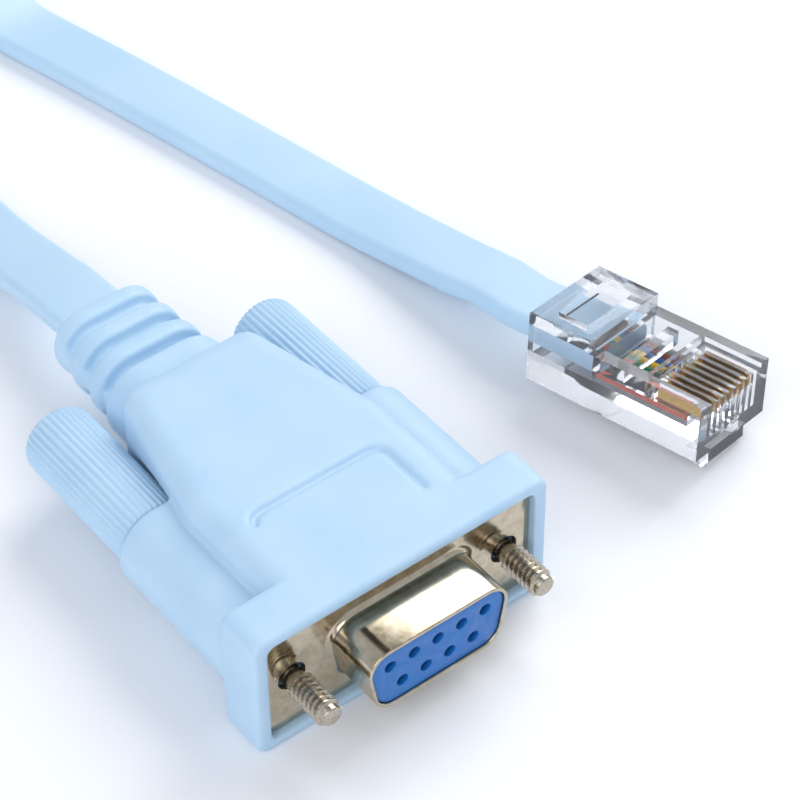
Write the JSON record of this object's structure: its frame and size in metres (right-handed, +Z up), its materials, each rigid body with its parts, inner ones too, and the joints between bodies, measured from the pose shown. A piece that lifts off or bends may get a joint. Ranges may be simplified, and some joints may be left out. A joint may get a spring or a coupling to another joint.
{
  "type": "rj45 console cable",
  "caption": "Flat console cable with a hooded D-sub socket with thumbscrews at one end, a clear modular plug at the other and its spare length in a tied coil",
  "frame": {"origin": "on the floor under the middle of the D connector, without the cable, its coil and the modular plug", "axes": "+X to the right seen from the D connector's mating face, +Y from that face back towards the cable, +Z up"},
  "size_m": [0.1032, 0.227, 0.0152],
  "materials": {
    "pale_blue_pvc": "soft satin moulded PVC",
    "nickel_shell": "bright drawn metal with a warm tint",
    "blue_insulator": "satin moulded plastic",
    "socket_gold": "gold-plated contact",
    "jackscrew_steel": "plated thread",
    "clear_polycarbonate": "clear moulded plastic",
    "blade_gold": "gold-plated stamping",
    "tie_white": "plain nylon strap",
    "conductor_orange": "thin wire insulation",
    "conductor_black": "thin wire insulation",
    "conductor_red": "thin wire insulation",
    "conductor_green": "thin wire insulation",
    "conductor_yellow": "thin wire insulation",
    "conductor_blue": "thin wire insulation",
    "conductor_brown": "thin wire insulation",
    "conductor_grey": "thin wire insulation"
  },
  "bodies": {
    "cable_body": {"moulded_hood": "pale_blue_pvc", "metal_shell": "nickel_shell", "socket_insulator": "blue_insulator", "socket_contact_1": "socket_gold", "socket_contact_2": "socket_gold", "socket_contact_3": "socket_gold", "socket_contact_4": "socket_gold", "socket_contact_5": "socket_gold", "socket_contact_6": "socket_gold", "socket_contact_7": "socket_gold", "socket_contact_8": "socket_gold", "socket_contact_9": "socket_gold", "plug_body": "clear_polycarbonate", "contact_blade_1": "blade_gold", "contact_blade_2": "blade_gold", "contact_blade_3": "blade_gold", "contact_blade_4": "blade_gold", "contact_blade_5": "blade_gold", "contact_blade_6": "blade_gold", "contact_blade_7": "blade_gold", "contact_blade_8": "blade_gold", "conductor_1": "conductor_orange", "conductor_2": "conductor_black", "conductor_3": "conductor_red", "conductor_4": "conductor_green", "conductor_5": "conductor_yellow", "conductor_6": "conductor_blue", "conductor_7": "conductor_brown", "conductor_8": "conductor_grey", "cable_end_in_plug": "pale_blue_pvc", "cable_from_hood": "pale_blue_pvc", "cable_coil": "pale_blue_pvc", "cable_to_plug": "pale_blue_pvc", "cable_tie": "tie_white"},
    "left_thumbscrew": {"left_thumbscrew_knob": "pale_blue_pvc", "left_jackscrew": "jackscrew_steel"},
    "right_thumbscrew": {"right_thumbscrew_knob": "pale_blue_pvc", "right_jackscrew": "jackscrew_steel"}
  },
  "joints": [
    {"name": "left_thumbscrew_turn", "type": "hinge", "parent": "cable_body", "child": "left_thumbscrew", "pos_m": [-0.01249, -0.0056, 0.0076], "axis": [0, -1, 0], "continuous": true},
    {"name": "right_thumbscrew_turn", "type": "hinge", "parent": "cable_body", "child": "right_thumbscrew", "pos_m": [0.01249, -0.0056, 0.0076], "axis": [0, -1, 0], "continuous": true}
  ]
}
